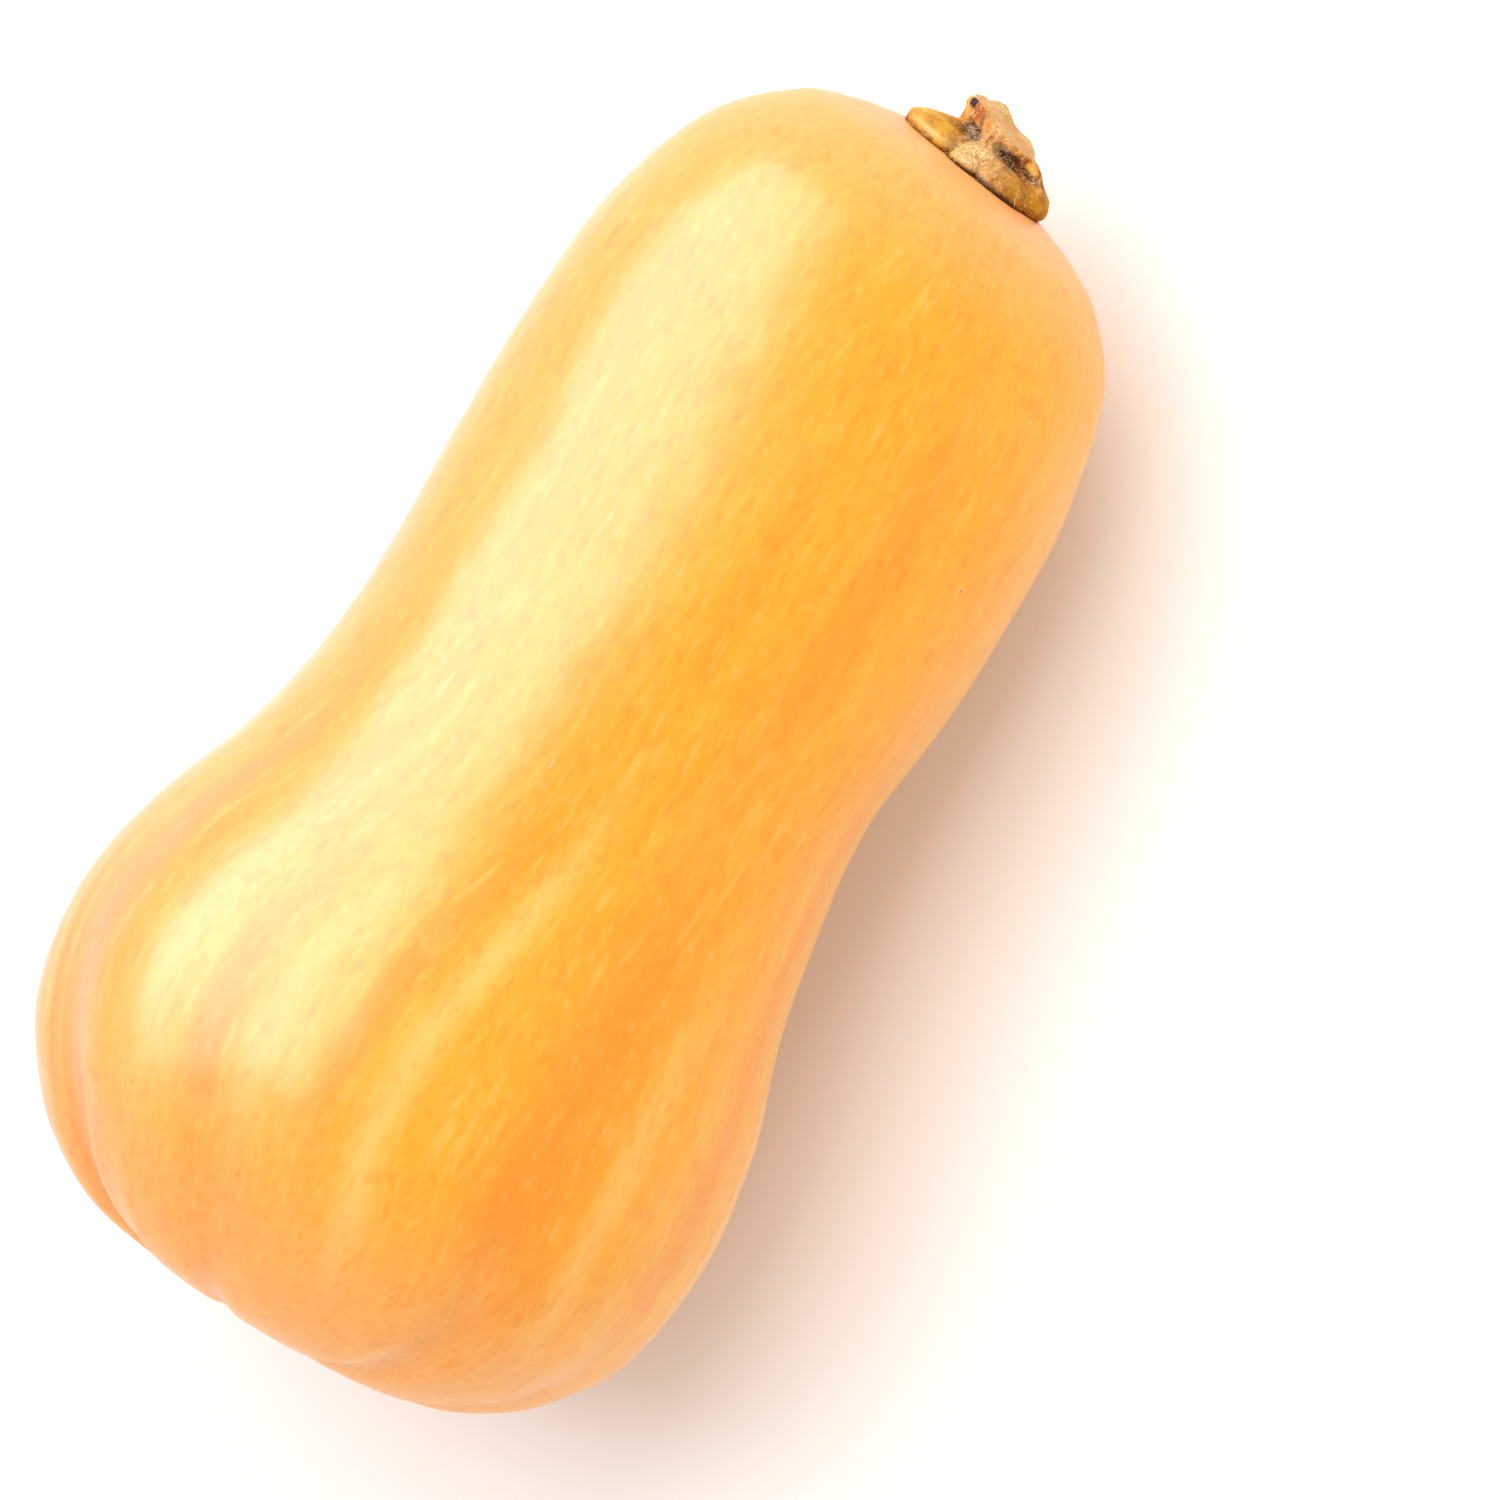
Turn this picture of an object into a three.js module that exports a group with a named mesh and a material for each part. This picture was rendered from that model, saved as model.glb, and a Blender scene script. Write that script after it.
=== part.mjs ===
// A butternut squash, as picked, lying on its side: the fruit, and the dry cut stub of its stem.
// Millimetres, +Z up, +X from the blossom end towards the stem. The origin is on the surface that
// the squash lies on, under the middle of its box.

import * as THREE from 'three';
import { mergeVertices } from 'three/addons/utils/BufferGeometryUtils.js';

const DEGREE = Math.PI / 180;

// Driving dimensions of the fruit.
const fruitLength = 211.5; // from the blossom end to the stem, without it
const bulbRadius = 56.9; // at the widest place
const flatDepth = 0.8; // how far the skin is flattened where the fruit lies

// Driving dimensions of the stem.
const stemNeck = 6.1; // the radius of the neck above the lobes
const stemHeight = 9.5; // from its base to the middle of the cut
const stemGap = 0.3; // between the fruit's seat and the stem
const stemAside = -0.3; // how far the stem stands to the side of the fruit's axis

// How the fruit lies: it has rolled onto its side, and its thinner neck hangs lower than the bulb.
const roll = 20 * DEGREE;
const droop = 6.12 * DEGREE;

// How fine the meshes are.
const fruitColumns = 80;
const fruitRows = 42;
const stemColumns = 72;
const stemWallRows = 13;
const stemCapRows = 4;

// The fruit's half outline, from the scar in the blossom end round the bulb, along the neck and into
// the seat of the stem: the share of the length, and of the bulb's radius.
const fruitOutline = [
  [0.014, 0],
  [0.013, 0.045],
  [0.019, 0.085],
  [0.007, 0.15],
  [0, 0.24],
  [0.003, 0.38],
  [0.012, 0.54],
  [0.032, 0.68],
  [0.062, 0.804],
  [0.117, 0.936],
  [0.203, 1],
  [0.29, 0.947],
  [0.375, 0.842],
  [0.46, 0.779],
  [0.545, 0.764],
  [0.7, 0.781],
  [0.82, 0.766],
  [0.915, 0.674],
  [0.967, 0.518],
  [0.985, 0.39],
  [0.992, 0.305],
  [0.9957, 0.25],
  [0.997, 0.22],
  [0.997, 0],
];

// The fruit's centre line: a slow sway along its length, and a turn under the stem, to one side and
// towards the front.
const sway = 0.6;
const bow = 1.2;
const turnLength = 38;
const turnOffset = 2.2;
const turnForward = 3.2;

// The furrows between the ribs: where each lies round the blossom end, how deep it is there, and how
// far it runs before it has nearly faded. They wander a little round the fruit on their way.
const furrows = [
  { angle: 57 * DEGREE, depth: 2.6, reach: 62 },
  { angle: 45 * DEGREE, depth: 1.0, reach: 18 },
  { angle: 12 * DEGREE, depth: 1.1, reach: 58 },
  { angle: -36 * DEGREE, depth: 1.5, reach: 52 },
  { angle: -72 * DEGREE, depth: 1.2, reach: 56 },
  { angle: -110 * DEGREE, depth: 1.6, reach: 60 },
  { angle: -145 * DEGREE, depth: 1.3, reach: 50 },
  { angle: 178 * DEGREE, depth: 1.5, reach: 58 },
  { angle: 140 * DEGREE, depth: 1.2, reach: 52 },
  { angle: 98 * DEGREE, depth: 1.7, reach: 60 },
];
const furrowRest = 0.1; // the share of its depth that a furrow keeps along the neck
const narrowFurrow = 6 * DEGREE;
const broadFurrow = 11 * DEGREE;
const plainRadius = 4; // no relief inside this, at the two ends
const ribbedRadius = 26; // the whole relief outside this
const bulbStation = 43; // where the bulb is widest
const wander = { out: 10 * DEGREE, back: 8 * DEGREE };

// Slow waves of the whole skin: each one's height, its waves round and along the fruit, and its phase.
const waves = [
  { height: 0.55, round: 2, along: 1.0, phase: 0.6 },
  { height: 0.4, round: 3, along: 1.7, phase: 2.1 },
  { height: 0.3, round: 1, along: 2.6, phase: 4.4 },
];

// Single swellings of the skin, and a dent in the waist: how high each one is, where its middle lies
// along and round the fruit, its half length, and its half width as an angle.
const bumps = [
  { height: 3.1, station: 15, angle: -90 * DEGREE, length: 23, width: 80 * DEGREE },
  { height: 1.6, station: 64, angle: 90 * DEGREE, length: 27, width: 80 * DEGREE },
  { height: -0.9, station: 115, angle: -88 * DEGREE, length: 11, width: 22 * DEGREE },
];

// The stem's lobes, five broad ones and a small knob: where each stands round the stem, how far it
// reaches from the axis, how high it stands, and half its width as an angle.
const lobes = [
  { angle: 75 * DEGREE, reach: 13.7, height: 5.5, width: 46 * DEGREE },
  { angle: 10 * DEGREE, reach: 12.4, height: 4.5, width: 20 * DEGREE },
  { angle: -40 * DEGREE, reach: 13.2, height: 5.2, width: 40 * DEGREE },
  { angle: -86 * DEGREE, reach: 13.8, height: 7.5, width: 40 * DEGREE },
  { angle: -142 * DEGREE, reach: 13.0, height: 6.6, width: 34 * DEGREE },
  { angle: 160 * DEGREE, reach: 12.8, height: 6.4, width: 41 * DEGREE },
];
const lobeRounding = 2.7; // how full a lobe stays on its way up
const lobeFullness = 2.2; // how full a lobe stays on its way round
const lobeShoulder = 0.45; // how much lower a lobe stands at its edges
const footCurl = 0.9; // how far a lobe draws in at its foot
const footHeight = 2.2;
const cornerHeight = 0.9; // how far the lobes still show in the neck
const valleyFlare = 2.6; // how far the valleys between the lobes flare at the base
const valleyHeight = 5;

// The hollows in the neck, a little below the cut, and the rim round the cut: where each hollow lies
// round the stem and up it, then their height and the rim's start and end, as shares of its height.
const hollows = [
  { angle: -40 * DEGREE, width: 38 * DEGREE, level: 0.72 },
  { angle: 42 * DEGREE, width: 26 * DEGREE, level: 0.57 },
  { angle: 132 * DEGREE, width: 22 * DEGREE, level: 0.66 },
  { angle: -165 * DEGREE, width: 26 * DEGREE, level: 0.66 },
];
const hollowDepth = 1.9;
const hollowHalf = 0.13;
const rimFlare = 0.5;
const rimStart = 0.76;
const rimEnd = 0.93;

// The cut slopes down towards the front and the right, and falls away near its right edge. Small
// bumps and a dent of its back edge: their height, their place from the axis and their reach.
const cutSlopeAcross = 0.2;
const cutSlopeOut = 0.07;
const cutFall = 0.04;
const cutFallStart = 5;
const cutBumps = [
  { height: 1.0, side: 2.2, front: -5.6, reach: 2.0 },
  { height: -0.5, side: 4.5, front: -4.5, reach: 1.2 },
  { height: 0.5, side: -4.8, front: -4.5, reach: 2.0 },
  { height: -1.1, side: 6.9, front: 0.5, reach: 2.2 },
];

const rind = new THREE.MeshStandardMaterial({ color: 0xf0b069, roughness: 0.42, metalness: 0 });
const dryStem = new THREE.MeshStandardMaterial({ color: 0x9c7434, roughness: 0.8, metalness: 0 });

// From 0 to 1 as x goes from a to b, with a smooth start and end.
function ramp(x, a, b) {
  return THREE.MathUtils.smoothstep(x, a, b);
}

// A closed solid made by turning a profile, where place says in the fruit's own frame where each
// vertex goes, from its height and radius on the profile and its angle round the axis.
function turnedSolid(profile, columns, place) {
  const geometry = new THREE.LatheGeometry(profile, columns);
  geometry.deleteAttribute('normal');
  geometry.deleteAttribute('uv');
  const at = geometry.getAttribute('position');
  const point = new THREE.Vector3();
  for (let i = 0; i < at.count; i++) {
    point.fromBufferAttribute(at, i);
    const angle = Math.atan2(-point.x, point.z);
    place(point, point.y, Math.hypot(point.x, point.z), angle);
    at.setXYZ(i, point.x, point.y, point.z);
  }
  const merged = mergeVertices(geometry, 1e-3);
  merged.computeVertexNormals();
  return merged;
}

// The middle of the fruit at a station along it, with the way that its axis runs there, the side
// that faces +Y and the front that faces the viewer.
function frameAt(station) {
  const share = station / fruitLength;
  const left = Math.max(0, 1 - (fruitLength - station) / turnLength);
  const centre = new THREE.Vector3(
    station,
    -sway * Math.cos(Math.PI * share) - turnOffset * left * left,
    bow * Math.sin(Math.PI * share) + turnForward * left * left
  );
  const ahead = new THREE.Vector3(
    1,
    (sway * Math.PI * Math.sin(Math.PI * share)) / fruitLength - (2 * turnOffset * left) / turnLength,
    (bow * Math.PI * Math.cos(Math.PI * share)) / fruitLength + (2 * turnForward * left) / turnLength
  );
  ahead.normalize();
  const side = new THREE.Vector3(0, 1, 0).addScaledVector(ahead, -ahead.y).normalize();
  const front = new THREE.Vector3().crossVectors(ahead, side);
  return { centre, ahead, side, front };
}

// How deep the furrows are at a place: narrow at the blossom end and broad on the bulb.
function furrowAt(station, angle) {
  const shift = wander.out * ramp(station, 4, bulbStation) - wander.back * ramp(station, 50, 100);
  const width = narrowFurrow + (broadFurrow - narrowFurrow) * ramp(station, 4, bulbStation);
  let depth = 0;
  for (const furrow of furrows) {
    const aside = (2 * Math.sin((angle - shift - furrow.angle) / 2)) / width;
    const along = station / furrow.reach;
    const left = furrowRest + (1 - furrowRest) * Math.exp(-along * along);
    depth += furrow.depth * left * Math.exp(-aside * aside);
  }
  return depth;
}

// How far the skin swells out from the plain turned form.
function swellAt(station, angle) {
  const turns = (Math.PI * 2 * station) / fruitLength;
  let swell = 0;
  for (const wave of waves) {
    swell += wave.height * Math.sin(wave.round * angle + wave.along * turns + wave.phase);
  }
  for (const bump of bumps) {
    const along = (station - bump.station) / bump.length;
    const round = (2 * Math.sin((angle - bump.angle) / 2)) / bump.width;
    swell += bump.height * Math.exp(-along * along - round * round);
  }
  return swell;
}

// A vertex of the fruit, from its station, its radius and its angle round the axis: angle 0 is at the
// front, and 90 degrees at the side. A furrow sinks inwards, and at the blossom end forwards too.
function placeOnFruit(point, station, radius, angle) {
  const { centre, ahead, side, front } = frameAt(station);
  const relief = ramp(radius, plainRadius, ribbedRadius);
  const furrow = relief * furrowAt(station, angle);
  const facing = (Math.PI / 2) * (1 - Math.sqrt(Math.min(1, station / bulbStation)));
  const out = radius + relief * swellAt(station, angle) - furrow * Math.cos(facing);
  point.copy(centre).addScaledVector(ahead, furrow * Math.sin(facing));
  point.addScaledVector(side, out * Math.sin(angle));
  point.addScaledVector(front, out * Math.cos(angle));
}

// The whole outline as a smooth curve, from the blossom end to the seat of the stem.
function fruitProfile() {
  const knots = fruitOutline.map(
    ([along, out]) => new THREE.Vector2(out * bulbRadius, along * fruitLength)
  );
  const points = new THREE.SplineCurve(knots).getSpacedPoints(fruitRows);
  points[0].x = 0;
  points[fruitRows].x = 0;
  return points;
}

// The height of the cut above the stem's base, over a place on the base.
function cutHeight(side, front) {
  const beyond = Math.max(0, -side - cutFallStart);
  let height = stemHeight + cutSlopeAcross * side - cutSlopeOut * front - cutFall * beyond * beyond;
  for (const bump of cutBumps) {
    const away = Math.hypot(side - bump.side, front - bump.front) / bump.reach;
    height += bump.height * Math.exp(-away * away);
  }
  return height;
}

// From 1 along a lobe's crest to 0 at its edges.
function lobeShare(lobe, angle) {
  const aside = Math.abs(2 * Math.sin((angle - lobe.angle) / 2)) / lobe.width;
  return Math.max(0, 1 - aside ** lobeFullness);
}

// The stem's radius at a height above its base, on the way up to a cut that is top high.
function stemRadiusAt(height, top, angle) {
  const crest = Math.min(1, lobes.reduce((sum, lobe) => sum + lobeShare(lobe, angle), 0));
  const neck = stemNeck + cornerHeight * (crest - 0.5);
  let radius = neck + valleyFlare * Math.max(0, 1 - (height / valleyHeight) ** 2);
  for (const lobe of lobes) {
    const share = lobeShare(lobe, angle);
    const high = lobe.height * (1 - lobeShoulder + lobeShoulder * share);
    const fall = Math.max(0, 1 - (height / high) ** lobeRounding);
    radius = Math.max(radius, neck + (lobe.reach - neck) * Math.sqrt(share) * fall);
  }
  const foot = Math.max(0, 1 - height / footHeight);
  radius -= footCurl * crest * foot * foot;
  const level = height / top;
  let sunk = 0;
  for (const hollow of hollows) {
    const aside = (2 * Math.sin((angle - hollow.angle) / 2)) / hollow.width;
    const below = (level - hollow.level) / hollowHalf;
    sunk = Math.max(sunk, Math.exp(-aside * aside - below * below));
  }
  return radius - hollowDepth * sunk + rimFlare * ramp(level, rimStart, rimEnd);
}

// A vertex of the stem in its own frame, whose +Z is up its axis, +X the fruit's side and +Y its
// front. The profile holds shares: up runs from the base to the cut, and out from axis to wall.
function placeOnStem(point, up, out, angle) {
  const rim = stemRadiusAt(stemHeight, stemHeight, angle);
  const top = cutHeight(rim * Math.sin(angle), rim * Math.cos(angle));
  const wall = stemRadiusAt(up * top, top, angle);
  const side = out * wall * Math.sin(angle);
  const front = out * wall * Math.cos(angle);
  const height = up < 1 ? up * top : cutHeight(side, front);
  point.set(side, front, height);
}

// The base, the wall and the cut of the stem, as shares.
function stemProfile() {
  const points = [];
  for (let i = 0; i < stemCapRows; i++) points.push(new THREE.Vector2(i / stemCapRows, 0));
  for (let i = 0; i < stemWallRows; i++) points.push(new THREE.Vector2(1, i / stemWallRows));
  for (let i = stemCapRows; i >= 0; i--) points.push(new THREE.Vector2(i / stemCapRows, 1));
  return points;
}

// The fruit's mesh, in a frame whose +X runs along it.
function makeFruit() {
  const mesh = new THREE.Mesh(turnedSolid(fruitProfile(), fruitColumns, placeOnFruit), rind);
  mesh.name = 'fruit';
  return mesh;
}

// The stem's mesh, standing on the seat at the end of the neck.
function makeStem() {
  const mesh = new THREE.Mesh(turnedSolid(stemProfile(), stemColumns, placeOnStem), dryStem);
  mesh.name = 'stem';
  const seat = fruitLength * fruitOutline[fruitOutline.length - 1][0];
  const { centre, ahead, side, front } = frameAt(seat);
  mesh.quaternion.setFromRotationMatrix(new THREE.Matrix4().makeBasis(side, front, ahead));
  mesh.position.copy(centre).addScaledVector(ahead, stemGap).addScaledVector(side, stemAside);
  return mesh;
}

// Lays the squash down so that the fruit would sink a little into the surface, then flattens the
// skin that would: one small flat under the bulb and one under the neck.
function layDown(lying, fruit) {
  lying.rotation.set(roll, droop, 0, 'YXZ');
  lying.updateMatrix();
  const at = fruit.geometry.getAttribute('position');
  const point = new THREE.Vector3();
  let lowest = Infinity;
  for (let i = 0; i < at.count; i++) {
    lowest = Math.min(lowest, point.fromBufferAttribute(at, i).applyMatrix4(lying.matrix).z);
  }
  lying.position.z = -lowest - flatDepth;
  lying.updateMatrix();
  const back = lying.matrix.clone().invert();
  for (let i = 0; i < at.count; i++) {
    point.fromBufferAttribute(at, i).applyMatrix4(lying.matrix);
    point.z = Math.max(point.z, 0);
    point.applyMatrix4(back);
    at.setXYZ(i, point.x, point.y, point.z);
  }
  fruit.geometry.computeVertexNormals();
}

const fruit = makeFruit();
const stem = makeStem();
const lying = new THREE.Group();
lying.add(fruit, stem);
layDown(lying, fruit);

const squash = new THREE.Group();
squash.name = 'butternut_squash';
squash.add(lying);
squash.updateMatrixWorld(true);
const box = new THREE.Box3().setFromObject(lying, true);
const middle = box.getCenter(new THREE.Vector3());
lying.position.x -= middle.x;
lying.position.y -= middle.y;

export default squash;
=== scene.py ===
"""A butternut squash lying on its side, seen from above: its waxy rind and the dry stub of its stem."""

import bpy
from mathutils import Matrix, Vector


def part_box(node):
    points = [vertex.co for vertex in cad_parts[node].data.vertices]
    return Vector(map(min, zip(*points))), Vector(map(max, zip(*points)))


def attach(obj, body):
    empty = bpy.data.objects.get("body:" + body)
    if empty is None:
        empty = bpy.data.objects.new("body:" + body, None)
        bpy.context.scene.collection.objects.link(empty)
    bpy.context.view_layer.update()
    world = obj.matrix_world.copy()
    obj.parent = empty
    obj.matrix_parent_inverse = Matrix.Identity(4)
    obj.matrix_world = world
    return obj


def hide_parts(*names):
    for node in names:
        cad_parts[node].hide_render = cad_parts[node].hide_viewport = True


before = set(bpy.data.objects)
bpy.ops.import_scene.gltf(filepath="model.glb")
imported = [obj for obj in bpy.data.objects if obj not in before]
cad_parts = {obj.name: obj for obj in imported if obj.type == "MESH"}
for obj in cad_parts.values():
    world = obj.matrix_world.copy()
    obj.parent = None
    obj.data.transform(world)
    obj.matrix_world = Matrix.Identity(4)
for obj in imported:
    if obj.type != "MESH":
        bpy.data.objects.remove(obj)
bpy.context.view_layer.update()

from math import cos, pi, radians, sin

import bmesh
import bpy
import numpy as np
from mathutils import Matrix, Vector, noise

# The fruit's own frame is in millimetres: X runs from the blossom end to the stem, angle 0 round it
# is the front and 90 degrees its left side, which turn into +Z and +Y before the fruit rolls over.
MM = 0.001
LENGTH = 211.5
BULB_RADIUS = 56.9

# How the fruit lies: rolled over, its neck drooping, and pressed flat by so much where it rests.
ROLL = radians(20)
DROOP = radians(6.12)
FLAT_DEPTH = 0.8

# The half outline, as shares of the length and of the bulb's radius.
OUTLINE = [
    (0.014, 0),
    (0.013, 0.045),
    (0.019, 0.085),
    (0.007, 0.15),
    (0, 0.24),
    (0.003, 0.38),
    (0.012, 0.54),
    (0.032, 0.68),
    (0.062, 0.804),
    (0.117, 0.936),
    (0.203, 1),
    (0.29, 0.947),
    (0.375, 0.842),
    (0.46, 0.779),
    (0.545, 0.764),
    (0.7, 0.781),
    (0.82, 0.766),
    (0.915, 0.674),
    (0.967, 0.518),
    (0.985, 0.39),
    (0.992, 0.305),
    (0.9957, 0.25),
    (0.997, 0.22),
    (0.997, 0),
]
CURVE_STEPS = 6000
FRUIT_COLUMNS = 360
FRUIT_ROWS = 270

# The centre line: a slow sway, and a turn under the stem, to one side and towards the front.
SWAY = 0.6
BOW = 1.2
TURN_LENGTH = 38
TURN_OFFSET = 2.2
TURN_FORWARD = 3.2

# The furrows between the ribs: the bearing of each at the blossom end, its depth there and its reach.
# They leave a share of their depth on the neck, and there is no relief inside the plain radius.
FURROWS = [
    (radians(57), 2.6, 62),
    (radians(45), 1.0, 18),
    (radians(12), 1.1, 58),
    (radians(-36), 1.5, 52),
    (radians(-72), 1.2, 56),
    (radians(-110), 1.6, 60),
    (radians(-145), 1.3, 50),
    (radians(178), 1.5, 58),
    (radians(140), 1.2, 52),
    (radians(98), 1.7, 60),
]
FURROW_REST = 0.1
NARROW_FURROW = radians(6)
BROAD_FURROW = radians(11)
PLAIN_RADIUS = 4
RIBBED_RADIUS = 26

# The ribs turn a little round the fruit out to the bulb's widest place, and back over the waist.
RIB_START = 4
BULB_STATION = 43
WANDER_OUT = radians(10)
WANDER_BACK = radians(8)
WANDER_BACK_STATIONS = (50, 100)

# Slow waves of the whole skin: height, waves round and along, and phase. Then single swellings and a
# dent: height, station, bearing, half length and half width.
WAVES = [(0.55, 2, 1.0, 0.6), (0.4, 3, 1.7, 2.1), (0.3, 1, 2.6, 4.4)]
BUMPS = [
    (3.1, 15, radians(-90), 23, radians(80)),
    (1.6, 64, radians(90), 27, radians(80)),
    (-0.9, 115, radians(-88), 11, radians(22)),
]

# The skin's fine lumps: height, grain and seed. They fade towards the two ends, between two radii.
SKIN_LUMPS = [(0.35, 19, 3), (0.09, 6, 5)]
LUMPY_RADII = (14, 30)

# The stem, in millimetres too: its height, how far it stands aside and how deep in its seat, and the
# share of the fruit's length past which the skin may belong to that seat.
STEM_HEIGHT = 9.5
STEM_ASIDE = -0.3
STEM_SINK = 0.3
SEAT_START = 0.9
STEM_COLUMNS = 360
STEM_WALL_ROWS = 120
STEM_CAP_ROWS = 34

# The stem's lobes: the bearing of each, its reach from the axis, its height and its half width. Then
# the roundness of a lobe up and across, how much lower its edges are, and how its foot curls in.
LOBES = [
    (radians(75), 13.7, 5.5, radians(46)),
    (radians(10), 12.2, 3.9, radians(20)),
    (radians(-40), 13.2, 5.2, radians(40)),
    (radians(-86), 13.8, 7.5, radians(40)),
    (radians(-142), 13.0, 6.6, radians(34)),
    (radians(160), 12.8, 6.4, radians(41)),
]
LOBE_ROUNDING = 2.7
LOBE_FULLNESS = 2.2
LOBE_SHOULDER = 0.45
FOOT_CURL = 0.9
FOOT_HEIGHT = 2.2

# The neck above the lobes: its radius, how far its corners stand out, and its flare between lobes.
STEM_NECK = 6.1
CORNER_HEIGHT = 0.9
VALLEY_FLARE = 2.6
VALLEY_HEIGHT = 5

# Hollows in the neck: bearing, half width and level. A level is a share of the height to the cut.
HOLLOWS = [
    (radians(-40), radians(38), 0.72),
    (radians(42), radians(26), 0.57),
    (radians(132), radians(22), 0.66),
    (radians(-165), radians(26), 0.66),
]
HOLLOW_DEPTH = 2.2
HOLLOW_HALF = 0.13
RIM_FLARE = 0.5
RIM_LEVELS = (0.76, 0.93)

# The cut: its slopes, how it falls away on one side, and its bumps, each with a height, a place to the
# side and to the front, and a reach. Then its rounded edge, and the dimple in its middle.
CUT_SLOPE_SIDE = 0.2
CUT_SLOPE_FRONT = 0.07
CUT_FALL = 0.04
CUT_FALL_START = 5
CUT_BUMPS = [
    (1.0, 2.2, -5.6, 2.0),
    (-0.5, 4.5, -4.5, 1.2),
    (0.5, -4.8, -4.5, 2.0),
    (-1.1, 6.9, 0.5, 2.2),
]
CUT_ROUNDING = 0.6
CUT_SHARPNESS = 6
DIMPLE_DEPTH = 0.9
DIMPLE_SHARE = 0.3

# The stem's rough skin: lumps with height, grain and seed, and upright ridges. Its foot is smooth.
STEM_LUMPS = [(0.3, 1.9, 7), (0.14, 0.8, 9), (0.07, 0.4, 4)]
RIDGE_HEIGHT = 0.26
RIDGE_SEED = 2
RIDGES_ROUND = 9
RIDGE_LENGTH = 5
SMOOTH_FOOT = 0.08

# Marks on the stem, each with a bearing and a half width: the corky knob and the cork above it, the
# dark patch at a corner, a painted highlight low on a lobe and painted shade under the stem. Levels as
# above.
KNOB = (radians(8), radians(24))
KNOB_RISE = (0.06, 0.2)
KNOB_FADE = (0.62, 0.4)
BRIDGE = (radians(-3.46), radians(24))
BRIDGE_RISE = (0.4, 0.55)
BRIDGE_SHARE = 0.8
DARK_PATCH = (radians(62), radians(12))
DARK_PATCH_RISE = (0.76, 0.92)
LOBE_HIGHLIGHT = (radians(46), radians(17))
LOBE_HIGHLIGHT_HEIGHT = 1.7
LOBE_HIGHLIGHT_HALF = 0.5
SHADE_UNDER = (radians(-18), radians(34))

# The hairs of the stem: how many, the chance of one at a place, and the lie, length and radius of each.
# A pair is a range or, for the lie, a mean and a spread. The slant is a direction that no hair takes,
# from which the directions across a hair are worked out.
HAIR_COUNT = 620
HAIR_SEED = 11
HAIR_LEVELS = (0.04, 0.9)
HAIR_CUT_RADIUS = 6
CHANCE_ANYWHERE = 0.05
CHANCE_IN_HOLLOW = 1.2
CHANCE_IN_VALLEY = 0.4
VALLEY_LEVEL = 0.6
HAIR_ROOT = 0.2
HAIR_ASIDE = (0.3, 0.4)
HAIR_RISE = (-0.1, 0.5)
HAIR_BEND = 0.3
HAIR_LENGTH = (0.4, 1.5)
HAIR_RADIUS = (0.035, 0.065)
HAIR_TAPER = 0.7
HAIR_RINGS = 6
HAIR_SIDES = 4
SLANT = (0.3, 0.5, 0.8)

# A measure larger than any place where a colour still shows.
FAR = 9

# Pale stripes of the rind: bearing, half width, strength, and the stations where each starts and ends.
PALE_STRIPES = [
    (radians(-12), radians(5), 0.75, 6, 112),
    (radians(62), radians(1.2), 0.8, 1, 76),
    (radians(68), radians(1), 0.7, 1, 66),
    (radians(9.5), radians(5), 0.4, 12, 90),
    (radians(30), radians(6), 0.45, 10, 100),
    (radians(-52), radians(5), 0.6, 8, 90),
    (radians(-90), radians(5), 0.7, 8, 110),
    (radians(-128), radians(6), 0.6, 8, 100),
    (radians(-162), radians(5), 0.8, 8, 110),
    (radians(160), radians(5), 0.7, 8, 100),
    (radians(119), radians(5), 0.6, 8, 95),
    (radians(78), radians(5), 0.7, 8, 105),
]

# Deep orange bands, in the same terms.
DEEP_BANDS = [
    (radians(-38), radians(14), 0.6, 14, 104),
    (radians(-3), radians(5), 0.42, 14, 100),
    (radians(19), radians(6), 0.6, 14, 84),
    (radians(-34), radians(9), 0.28, 96, 196),
    (radians(-12), radians(5), 0.3, 110, 190),
    (radians(-74), radians(8), 0.5, 20, 150),
    (radians(-145), radians(9), 0.7, 20, 120),
    (radians(178), radians(8), 0.6, 30, 180),
    (radians(137), radians(9), 0.7, 20, 130),
    (radians(52), radians(7), 0.4, 20, 110),
    (radians(65), radians(1.2), 0.8, 1, 70),
    (radians(71), radians(1), 0.7, 1, 60),
]

# How far the stripes wave and fray aside, as shares of their half width, and how they come and go.
STRIPE_WAVE = 0.4
STRIPE_FRAY = 0.5
STRIPE_RISE = 24
STRIPE_FADE = 40

# Green veins that run down from the stem: bearing, half width, strength and how far each one runs.
GREEN_VEINS = [
    (radians(97), 0.45, 0.9, 52),
    (radians(-101), 0.5, 0.9, 88),
    (radians(-158), 0.6, 1.0, 64),
    (radians(146), 0.5, 0.8, 46),
    (radians(-14), 1.3, 0.16, 26),
]
VEIN_WAVE = 1.6

# The scar at the blossom end: the radius of its cork and of the ring round it, and how far it shows.
SCAR_RADII = (5.2, 4.2)
SCAR_WAVE = 1.6
SCAR_RING = 4.6
SCAR_STATIONS = (30, 20)

# The photograph: the turn of the fruit in it, how much of the part a pixel shows, in millimetres, and
# where the middle of the fruit's axis lies in it. The camera's distance is in metres.
FRAME_PIXELS = 1500
PIXEL = 0.1562
AXIS_TILT = radians(58)
FRUIT_MIDDLE = (604.4, 735)
CAMERA_DISTANCE = 1.4
SENSOR = 36

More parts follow.
